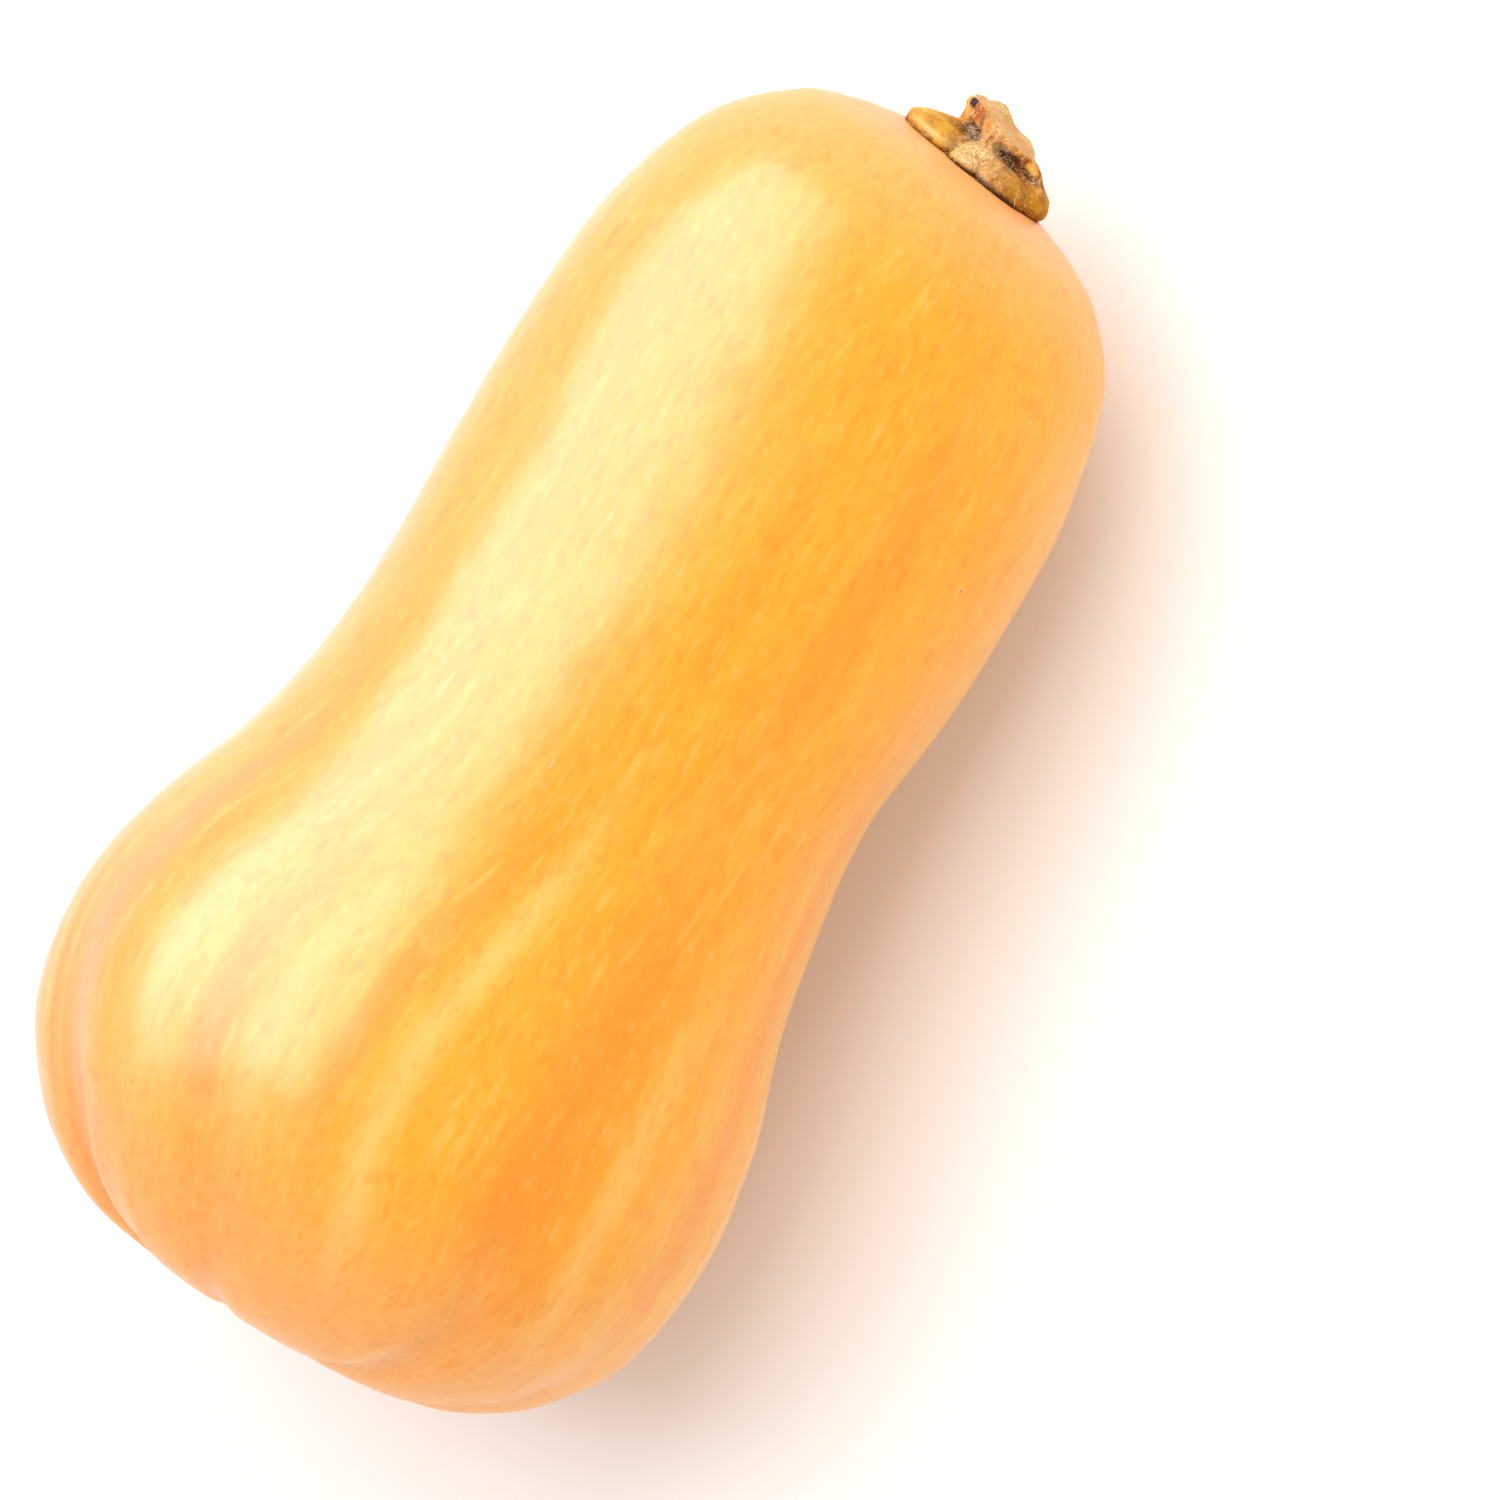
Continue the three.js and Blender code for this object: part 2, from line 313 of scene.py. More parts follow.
# Two softboxes stand along the fruit, moved towards its stem: the key lights its colours and the
# sheen makes its gloss. Each is turned from the view direction to the fruit's side. Sizes are in metres
# and powers in watts.
BOX_DISTANCE = 1.1
BOX_SHIFT = 0.4
BOX_LENGTH = 1.9
BOX_AIM_HEIGHT = 0.05
KEY_ANGLE = radians(30)
KEY_WIDTH = 0.9
KEY_POWER = 14.5
SHEEN_ANGLE = radians(60)
SHEEN_WIDTH = 1.4
SHEEN_POWER = 100
SHEEN_COLOUR = (0.8, 0.8, 1)

# The room: how bright it is at the horizon and overhead, its colour, and the floor's half size.
ROOM_LIGHT = 1.4
CEILING_LIGHT = 0.4
ROOM_COLOUR = (1, 0.975, 0.93, 1)
FLOOR_HALF = 6
FLOOR_COLOUR = (0.9, 0.89, 0.88, 1)


def ramp(x, low, high):
    """From 0 to 1 as x goes from low to high, with a smooth start and end."""
    share = np.clip((x - low) / (high - low), 0, 1)
    return share * share * (3 - 2 * share)


def curve_through(knots, rows):
    """A smooth curve through the knots, as evenly spaced points."""
    p = np.array(knots, float)
    padded = np.vstack([p[:1], p, p[-1:]])
    t = np.linspace(0, len(p) - 1, CURVE_STEPS)
    i = np.minimum(t.astype(int), len(p) - 2)
    u = (t - i)[:, None]
    before, start, end, after = padded[i], padded[i + 1], padded[i + 2], padded[i + 3]
    leave, arrive = (end - before) / 2, (after - start) / 2
    fine = (2 * start - 2 * end + leave + arrive) * u**3
    fine += (3 * end - 3 * start - 2 * leave - arrive) * u**2 + leave * u + start
    steps = np.linalg.norm(np.diff(fine, axis=0), axis=1)
    far = np.concatenate([[0], np.cumsum(steps)])
    even = np.linspace(0, far[-1], rows + 1)
    return np.stack([np.interp(even, far, fine[:, k]) for k in range(2)], axis=1)


def frame_at(station):
    """The centre line at stations along the fruit, the way it runs, its side and its front."""
    station = np.asarray(station, float)
    share = pi * station / LENGTH
    left = np.maximum(0, 1 - (LENGTH - station) / TURN_LENGTH)
    side_way = -SWAY * np.cos(share) - TURN_OFFSET * left**2
    front_way = BOW * np.sin(share) + TURN_FORWARD * left**2
    centre = np.stack([station, side_way, front_way], axis=-1)
    side_lean = SWAY * pi / LENGTH * np.sin(share) - 2 * TURN_OFFSET / TURN_LENGTH * left
    front_lean = BOW * pi / LENGTH * np.cos(share) + 2 * TURN_FORWARD / TURN_LENGTH * left
    ahead = np.stack([np.ones_like(station), side_lean, front_lean], axis=-1)
    ahead /= np.linalg.norm(ahead, axis=-1, keepdims=True)
    side = np.array([0, 1, 0]) - ahead * ahead[..., 1:2]
    side /= np.linalg.norm(side, axis=-1, keepdims=True)
    return centre, ahead, side, np.cross(ahead, side)


def wander(station):
    """How far the ribs have turned round the fruit by a station."""
    out = WANDER_OUT * ramp(station, RIB_START, BULB_STATION)
    return out - WANDER_BACK * ramp(station, *WANDER_BACK_STATIONS)


def furrow_depth(station, angle):
    """How deep the furrows are: narrow at the blossom end and broad on the bulb."""
    width = NARROW_FURROW + (BROAD_FURROW - NARROW_FURROW) * ramp(station, RIB_START, BULB_STATION)
    depth = 0
    for bearing, deepest, reach in FURROWS:
        aside = 2 * np.sin((angle - wander(station) - bearing) / 2) / width
        left = FURROW_REST + (1 - FURROW_REST) * np.exp(-((station / reach) ** 2))
        depth = depth + deepest * left * np.exp(-(aside**2))
    return depth


def swelling(station, angle):
    """How far the skin swells out from the plain turned form."""
    out = 0
    turns = 2 * pi * station / LENGTH
    for height, around, along, phase in WAVES:
        out = out + height * np.sin(around * angle + along * turns + phase)
    for height, middle, bearing, length, width in BUMPS:
        away = (station - middle) / length
        aside = 2 * np.sin((angle - bearing) / 2) / width
        out = out + height * np.exp(-(away**2) - aside**2)
    return out


def lumps(points, size, seed):
    """Soft noise at points, in a grain of about that size."""
    shift = Vector((seed, 2 * seed, 3 * seed))
    return np.array([noise.noise(Vector(p) / size + shift) for p in points])


def turned_faces(rows, columns):
    """The faces of a closed form turned round an axis: a pole, rings of points, and a pole."""
    faces = []
    last = 1 + (rows - 1) * columns
    for k in range(columns):
        after = (k + 1) % columns
        faces.append((0, 1 + k, 1 + after))
        faces.append((last, last - columns + after, last - columns + k))
    for i in range(rows - 2):
        ring = 1 + i * columns
        for k in range(columns):
            after = (k + 1) % columns
            faces.append((ring + k, ring + columns + k, ring + columns + after, ring + after))
    return faces


def turned_points(values):
    """The points of a turned form, from a row of points for each step: the end rows become poles."""
    return np.vstack([values[0, :1], values[1:-1].reshape(-1, values.shape[-1]), values[-1, :1]])


def mesh_object(name, points, faces, material, attributes=()):
    """A smooth closed mesh in the scene, with its normals outwards and its attributes set."""
    mesh = bpy.data.meshes.new(name)
    mesh.from_pydata(points.tolist(), [], faces)
    for key, values in dict(attributes).items():
        kind = "FLOAT" if values.ndim == 1 else "FLOAT_VECTOR"
        field = "value" if values.ndim == 1 else "vector"
        attribute = mesh.attributes.new(key, kind, "POINT")
        attribute.data.foreach_set(field, values.astype(np.float32).ravel())
    mesh.materials.append(material)
    body = bmesh.new()
    body.from_mesh(mesh)
    bmesh.ops.recalc_face_normals(body, faces=body.faces)
    body.to_mesh(mesh)
    body.free()
    mesh.shade_smooth()
    made = bpy.data.objects.new(name, mesh)
    bpy.context.scene.collection.objects.link(made)
    return made


def fruit_points():
    """The fruit's points in its own frame, with their stations, angles and furrow depths."""
    outline = curve_through([(out * BULB_RADIUS, along * LENGTH) for along, out in OUTLINE], FRUIT_ROWS)
    radius, station = outline[:, :1], outline[:, 1:]
    angle = np.linspace(0, 2 * pi, FRUIT_COLUMNS, endpoint=False)[None, :]
    angle = np.repeat(angle, FRUIT_ROWS + 1, axis=0)
    station = np.repeat(station, FRUIT_COLUMNS, axis=1)
    shown = ramp(radius, PLAIN_RADIUS, RIBBED_RADIUS)
    furrow = shown * furrow_depth(station, angle)
    facing = pi / 2 * (1 - np.sqrt(np.clip(station / BULB_STATION, 0, 1)))
    out = radius + shown * swelling(station, angle) - furrow * np.cos(facing)
    out[[0, -1]] = 0
    centre, ahead, side, front = frame_at(station)
    points = centre + ahead * (furrow * np.sin(facing))[..., None]
    points = points + side * (out * np.sin(angle))[..., None] + front * (out * np.cos(angle))[..., None]
    return points, station, angle, out, furrow


def lay_down(points, lying):
    """Points of the fruit's own frame, laid down in the row frame."""
    turned = points * MM @ np.array(lying.to_3x3()).T
    return turned + np.array(lying.translation)


def lying_matrix(points):
    """How the fruit lies: rolled and drooping, a little into the floor and where its CAD node is."""
    turn = Matrix.Rotation(DROOP, 4, "Y") @ Matrix.Rotation(ROLL, 4, "X")
    laid = lay_down(points, turn)
    low, high = laid.min(axis=0), laid.max(axis=0)
    cad_low, cad_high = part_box("fruit")
    shift = (np.array(cad_low) + np.array(cad_high) - low - high) / 2
    shift[2] = -low[2] - FLAT_DEPTH * MM
    return Matrix.Translation(Vector(shift)) @ turn


def seat_ratio(points):
    """How far skin near the stem lies from its axis, as a share of the stem's reach on that side."""
    centre, _, side_way, front_way = frame_at(LENGTH * OUTLINE[-1][0])
    side = (points - centre) @ side_way - STEM_ASIDE
    front = (points - centre) @ front_way
    reach, _ = stem_radius(np.zeros(len(points)), np.arctan2(side, front), STEM_HEIGHT)
    ratio = np.hypot(side, front) / reach
    return np.where(points[:, 0] > SEAT_START * LENGTH, ratio, FAR)


def make_fruit(material):
    """The fruit: its fine skin, with the measures that its colours follow."""
    values, *measures = fruit_points()
    points = turned_points(values)
    station, angle, radius, furrow = (turned_points(m[..., None])[:, 0] for m in measures)
    outward = np.stack([np.zeros_like(angle), np.sin(angle), np.cos(angle)], axis=1)
    low_relief = sum(height * lumps(points, grain, seed) for height, grain, seed in SKIN_LUMPS)
    points = points + outward * (ramp(radius, *LUMPY_RADII) * low_relief)[:, None]
    lying = lying_matrix(points)
    laid = lay_down(points, lying)
    laid[:, 2] = np.maximum(laid[:, 2], 0)
    turned = angle - wander(station)
    measured = {
        "grown": points,
        "station": station,
        "radius": radius,
        "furrow": furrow,
        "seat": seat_ratio(points),
        "bearing": np.stack([np.cos(turned), np.sin(turned), station / LENGTH], axis=1),
    }
    fruit = mesh_object("squash_rind", laid, turned_faces(FRUIT_ROWS, FRUIT_COLUMNS), material, measured)
    return fruit, lying


def cut_height(side, front):
    """The height of the cut above the stem's base."""
    beyond = np.maximum(0, -side - CUT_FALL_START)
    height = STEM_HEIGHT + CUT_SLOPE_SIDE * side - CUT_SLOPE_FRONT * front - CUT_FALL * beyond**2
    for high, bump_side, bump_front, reach in CUT_BUMPS:
        height = height + high * np.exp(-(((side - bump_side) ** 2 + (front - bump_front) ** 2) / reach**2))
    return height


def lobe_share(angle, bearing, width):
    """From 1 along a lobe's crest to 0 at its edges."""
    aside = np.abs(2 * np.sin((angle - bearing) / 2)) / width
    return np.clip(1 - aside**LOBE_FULLNESS, 0, 1)


def near_angle(angle, place):
    """From 1 at a bearing to 0 well aside of it."""
    bearing, width = place
    return np.exp(-((2 * np.sin((angle - bearing) / 2) / width) ** 2))


def hollow_share(level, angle):
    """From 1 in the middle of a hollow of the neck to 0 outside the hollows."""
    share = 0
    for bearing, width, middle in HOLLOWS:
        near = near_angle(angle, (bearing, width)) * np.exp(-(((level - middle) / HOLLOW_HALF) ** 2))
        share = np.maximum(share, near)
    return share


def stem_radius(height, angle, top):
    """The stem's radius at a height, and from 0 to 1 how much of a crest it is there."""
    crest = np.clip(sum(lobe_share(angle, bearing, width) for bearing, _, _, width in LOBES), 0, 1)
    neck = STEM_NECK + CORNER_HEIGHT * (crest - 0.5)
    radius = neck + VALLEY_FLARE * np.clip(1 - (height / VALLEY_HEIGHT) ** 2, 0, 1)
    for bearing, reach, high, width in LOBES:
        share = lobe_share(angle, bearing, width)
        level = height / (high * (1 - LOBE_SHOULDER + LOBE_SHOULDER * share))
        fall = np.clip(1 - np.maximum(level, 0) ** LOBE_ROUNDING, 0, 1)
        radius = np.maximum(radius, neck + (reach - neck) * np.sqrt(share) * fall)
    radius = radius - FOOT_CURL * crest * np.clip(1 - height / FOOT_HEIGHT, 0, 1) ** 2
    level = height / top
    sunk = hollow_share(level, angle)
    return radius - HOLLOW_DEPTH * sunk + RIM_FLARE * ramp(level, *RIM_LEVELS), crest


def stem_points():
    """The stem's points in its own frame, X to the fruit's side, Y to its front and Z up its axis, and
    how much of a crest, how high up and whether on the cut each one is."""
    angle = np.linspace(0, 2 * pi, STEM_COLUMNS, endpoint=False)[None, :]
    cap = np.linspace(0, 1, STEM_CAP_ROWS, endpoint=False)[:, None]
    up = np.vstack([cap * 0, np.linspace(0, 1, STEM_WALL_ROWS)[:, None], cap * 0 + 1])
    out = np.vstack([cap, np.ones((STEM_WALL_ROWS, 1)), 1 - (cap + 1 / STEM_CAP_ROWS)])
    rim, _ = stem_radius(STEM_HEIGHT, angle, STEM_HEIGHT)
    top = cut_height(rim * np.sin(angle), rim * np.cos(angle)) - CUT_ROUNDING
    wall, crest = stem_radius(up * top, angle, top)
    side, front = out * wall * np.sin(angle), out * wall * np.cos(angle)
    dimple = DIMPLE_DEPTH * np.exp(-((out / DIMPLE_SHARE) ** 2))
    cap_height = cut_height(side, front) - CUT_ROUNDING * out**CUT_SHARPNESS - dimple
    above = np.arange(up.shape[0]) >= STEM_CAP_ROWS + STEM_WALL_ROWS
    on_cut = np.repeat(above[:, None], STEM_COLUMNS, 1)
    height = np.where(on_cut, cap_height, up * top)
    return np.stack([side, front, height], axis=-1), crest + 0 * height, up + 0 * height, on_cut * 1.0


def make_stem(lying, material, hair_material):
    """The stem on its seat, and the stiff hairs left on it."""
    values, *measures = stem_points()
    points = turned_points(values)
    crest, level, cut = (turned_points(m[..., None])[:, 0] for m in measures)
    angle = np.arctan2(points[:, 0], points[:, 1])
    outward = np.stack([np.sin(angle), np.cos(angle), 0 * angle], axis=1) * (1 - cut)[:, None]
    outward = outward + np.array([0, 0, 1.0]) * cut[:, None]
    ridged = np.stack([angle * RIDGES_ROUND, 0 * angle, points[:, 2] / RIDGE_LENGTH], axis=1)
    rough = sum(height * lumps(points, grain, seed) for height, grain, seed in STEM_LUMPS)
    rough = rough + RIDGE_HEIGHT * lumps(ridged, 1, RIDGE_SEED) * (1 - cut)
    points = points + outward * (rough * ramp(level, 0, SMOOTH_FOOT))[:, None]
    knob = near_angle(angle, KNOB) * ramp(level, *KNOB_RISE) * ramp(level, *KNOB_FADE)
    bridge = near_angle(angle, BRIDGE) * ramp(level, *BRIDGE_RISE) * (1 - cut)
    # A painted highlight along the foot of a lobe.
    painted_highlight = near_angle(angle, LOBE_HIGHLIGHT) * np.exp(-(((points[:, 2] - LOBE_HIGHLIGHT_HEIGHT) / LOBE_HIGHLIGHT_HALF) ** 2))
    measured = {
        "grown": points,
        "crest": crest,
        "level": level,
        "cut": cut,
        "cork": np.clip(knob + BRIDGE_SHARE * bridge, 0, 1),
        "dark_patch": near_angle(angle, DARK_PATCH) * ramp(level, *DARK_PATCH_RISE) * (1 - cut),
        "painted_highlight": painted_highlight * (1 - cut),
        "hollow": hollow_share(level, angle) * (1 - cut),
        "under": near_angle(angle, SHADE_UNDER) * (1 - cut),
    }
    centre, ahead, side, front = frame_at(LENGTH * OUTLINE[-1][0])
    basis = np.stack([side, front, ahead])

    def seated(p):
        return lay_down((p + np.array([STEM_ASIDE, 0, -STEM_SINK])) @ basis + centre, lying)

    faces = turned_faces(values.shape[0] - 1, STEM_COLUMNS)
    stem = mesh_object("cut_stem", seated(points), faces, material, measured)
    return stem, make_hairs(seated, hair_material)


def hair_faces(first):
    """The faces of one hair, a closed tube whose points start at a number."""
    faces = []
    for ring in range(HAIR_RINGS - 1):
        for k in range(HAIR_SIDES):
            a = first + ring * HAIR_SIDES + k
            b = first + ring * HAIR_SIDES + (k + 1) % HAIR_SIDES
            faces.append((a, b, b + HAIR_SIDES, a + HAIR_SIDES))
    last = first + (HAIR_RINGS - 1) * HAIR_SIDES
    faces.append(tuple(first + k for k in reversed(range(HAIR_SIDES))))
    faces.append(tuple(last + k for k in range(HAIR_SIDES)))
    return faces


def make_hairs(seated, material):
    """Short curved hairs, most of them in the hollow under the cut and between the lobes."""
    draw = np.random.default_rng(HAIR_SEED)
    points, faces = [], []
    while len(points) < HAIR_COUNT * HAIR_RINGS * HAIR_SIDES:
        angle, level = draw.uniform(0, 2 * pi), draw.uniform(*HAIR_LEVELS)
        top = cut_height(HAIR_CUT_RADIUS * sin(angle), HAIR_CUT_RADIUS * cos(angle))
        radius, crest = stem_radius(level * top, np.array(angle), top)
        wanted = CHANCE_ANYWHERE + CHANCE_IN_HOLLOW * hollow_share(level, angle)
        wanted = wanted + CHANCE_IN_VALLEY * (1 - crest) * (level < VALLEY_LEVEL)
        if draw.uniform() > wanted:
            continue
        outward = np.array([sin(angle), cos(angle), 0])
        aside = np.array([cos(angle), -sin(angle), 0])
        root = outward * (float(radius) - HAIR_ROOT) + np.array([0, 0, level * top])
        way = outward + aside * draw.normal(*HAIR_ASIDE)
        way = way + np.array([0, 0, draw.normal(*HAIR_RISE)])
        way /= np.linalg.norm(way)
        bend = draw.normal(0, HAIR_BEND, 3) + aside * draw.normal(0, HAIR_BEND)
        length = draw.uniform(*HAIR_LENGTH)
        thick = draw.uniform(*HAIR_RADIUS)
        across = np.cross(way, SLANT)
        across /= np.linalg.norm(across)
        over = np.cross(way, across)
        first = len(points)
        for ring in range(HAIR_RINGS):
            share = ring / (HAIR_RINGS - 1)
            middle = root + length * (way * share + bend * share**2)
            for k in range(HAIR_SIDES):
                turn = 2 * pi * k / HAIR_SIDES
                out = across * cos(turn) + over * sin(turn)
                points.append(middle + thick * (1 - HAIR_TAPER * share) * out)
        faces.extend(hair_faces(first))
    return mesh_object("stem_hairs", seated(np.array(points)), faces, material)


class Nodes:
    """A short way to write a material's node tree."""

    def __init__(self, name):
        self.material = bpy.data.materials.new(name)
        self.material.use_nodes = True
        self.tree = self.material.node_tree
        self.shader = self.tree.nodes["Principled BSDF"]

    def link(self, source, socket):
        if hasattr(source, "is_output"):
            self.tree.links.new(source, socket)
        elif isinstance(source, tuple) and len(source) == 3 and socket.type == "RGBA":
            socket.default_value = (*source, 1)
        else:
            socket.default_value = source

    def add(self, kind, output=0, settings=(), **inputs):
        node = self.tree.nodes.new(kind)
        for key, value in dict(settings).items():
            setattr(node, key, value)
        for key, value in inputs.items():
            name = key.replace("_", " ")
            self.link(value, node.inputs[int(name[1:]) if name[1:].isdigit() else name])
        return node.outputs[output]

    def attribute(self, name, output="Fac"):
        return self.add("ShaderNodeAttribute", output, {"attribute_name": name})

    def math(self, operation, a, b=0.0, c=0.0):
        return self.add("ShaderNodeMath", 0, {"operation": operation}, i0=a, i1=b, i2=c)

    def between(self, value, low, high, start=0.0, end=1.0):
        """value as it goes from low to high, turned into a share from start to end."""
        settings = {"interpolation_type": "SMOOTHSTEP"}
        return self.add("ShaderNodeMapRange", 0, settings, i0=value, i1=low, i2=high, i3=start, i4=end)

    def mix(self, share, a, b):
        """Colour a as the share is 0, colour b as it is 1."""
        node = self.tree.nodes.new("ShaderNodeMix")
        node.data_type = "RGBA"
        self.link(share, node.inputs[0])
        self.link(a, node.inputs[6])
        self.link(b, node.inputs[7])
        return node.outputs[2]

    def scaled(self, vector, x, y, z):
        return self.add("ShaderNodeVectorMath", 0, {"operation": "MULTIPLY"}, i0=vector, i1=(x, y, z))

    def beside(self, bearing, angle):
        """The sine of how far round a place lies from an angle, and more on the far side."""
        cosine, sine = self.split(bearing)
        one_side = self.math("MULTIPLY", sine, cos(angle))
        other_side = self.math("MULTIPLY", cosine, sin(angle))
        across = self.math("SUBTRACT", one_side, other_side)
        along = self.math("MULTIPLY", cosine, cos(angle))
        facing = self.math("ADD", along, self.math("MULTIPLY", sine, sin(angle)))
        far = self.math("MULTIPLY", self.math("LESS_THAN", facing, 0.0), FAR)
        return self.math("ADD", self.math("ABSOLUTE", across), far)

    def split(self, vector):
        node = self.tree.nodes.new("ShaderNodeSeparateXYZ")
        self.link(vector, node.inputs[0])
        return node.outputs[0], node.outputs[1]

    def spots(self, vector, scale, radius, soft=0.5):
        """Scattered round spots: 1 inside each, 0 outside, with a soft edge."""
        cells = self.add("ShaderNodeTexVoronoi", 0, Vector=vector, Scale=scale)
        return self.between(cells, radius, radius * (1 - soft))

    def noise(self, vector, scale, detail=2.0, roughness=0.5, distortion=0.0):
        return self.add(
            "ShaderNodeTexNoise", 0, Vector=vector, Scale=scale, Detail=detail, Roughness=roughness,
            Distortion=distortion,
        )


def colour(red, green, blue):
    """A colour as a screen shows it, 0 to 255, as the linear one that shaders take."""
    shares = [c / 255 for c in (red, green, blue)]
    return tuple(s / 12.92 if s < 0.04045 else ((s + 0.055) / 1.055) ** 2.4 for s in shares)


# The rind's colours.
GROUND_DEEP = colour(240, 151, 10)
GROUND_WARM = colour(242, 162, 32)
STREAKS_GOLD = colour(243, 171, 52)
FIBRES_PALE = colour(248, 186, 80)
CLOUDS_SOFT = colour(240, 166, 62)
NECK_GOLD = colour(244, 173, 44)
BAND_ORANGE = colour(232, 130, 2)
STRIPE_PALE = colour(249, 190, 100)
ENDS_PINK = colour(243, 169, 102)
FURROW_PINK = colour(228, 142, 72)
SPOTS_ORANGE = colour(230, 128, 6)
MOTTLE_ORANGE = colour(232, 132, 6)
GRAIN_ORANGE = colour(230, 126, 4)
GRAIN_PALE = colour(250, 196, 108)
VEIN_GREEN = colour(118, 138, 34)
SPECK_BROWN = colour(120, 78, 38)
SCRATCH_PALE = colour(250, 208, 150)
SEAT_PINK = colour(238, 154, 94)
SEAT_CONTACT_SHADE = colour(70, 34, 8)
SCAR_CORK = colour(150, 104, 62)
SCAR_EDGE = colour(96, 58, 26)

# The stem's colours.
LOBE_OLIVE = colour(190, 116, 2)
LOBE_YELLOW = colour(232, 172, 12)
LOBE_BROWN = colour(146, 80, 2)
LOBE_TAN = colour(200, 134, 8)
LOBE_FIBRES = colour(222, 164, 36)
LOBE_GRAIN = colour(120, 64, 2)
LOBE_HIGHLIGHT_CREAM = colour(253, 212, 132)
NECK_BROWN = colour(172, 88, 10)
NECK_BUFF = colour(234, 166, 62)
NECK_FIBRES = colour(250, 208, 122)
HOLLOW_SHADE = colour(62, 30, 8)
HOLLOW_FIBRES = colour(176, 110, 50)
FOOT_SHADE = colour(58, 28, 4)
CORK_PALE = colour(250, 218, 160)
CORK_DARK = colour(206, 140, 70)
FLECKS_PALE = colour(236, 196, 120)
WARTS_PALE = colour(244, 216, 168)
CUT_BUFF = colour(216, 156, 84)
CUT_PALE = colour(222, 184, 126)
CUT_GRAIN = colour(164, 106, 56)
PORES_DARK = colour(84, 52, 28)
DARK_PATCH_BLACK = colour(34, 24, 18)
HAIR_PALE = colour(236, 214, 176)


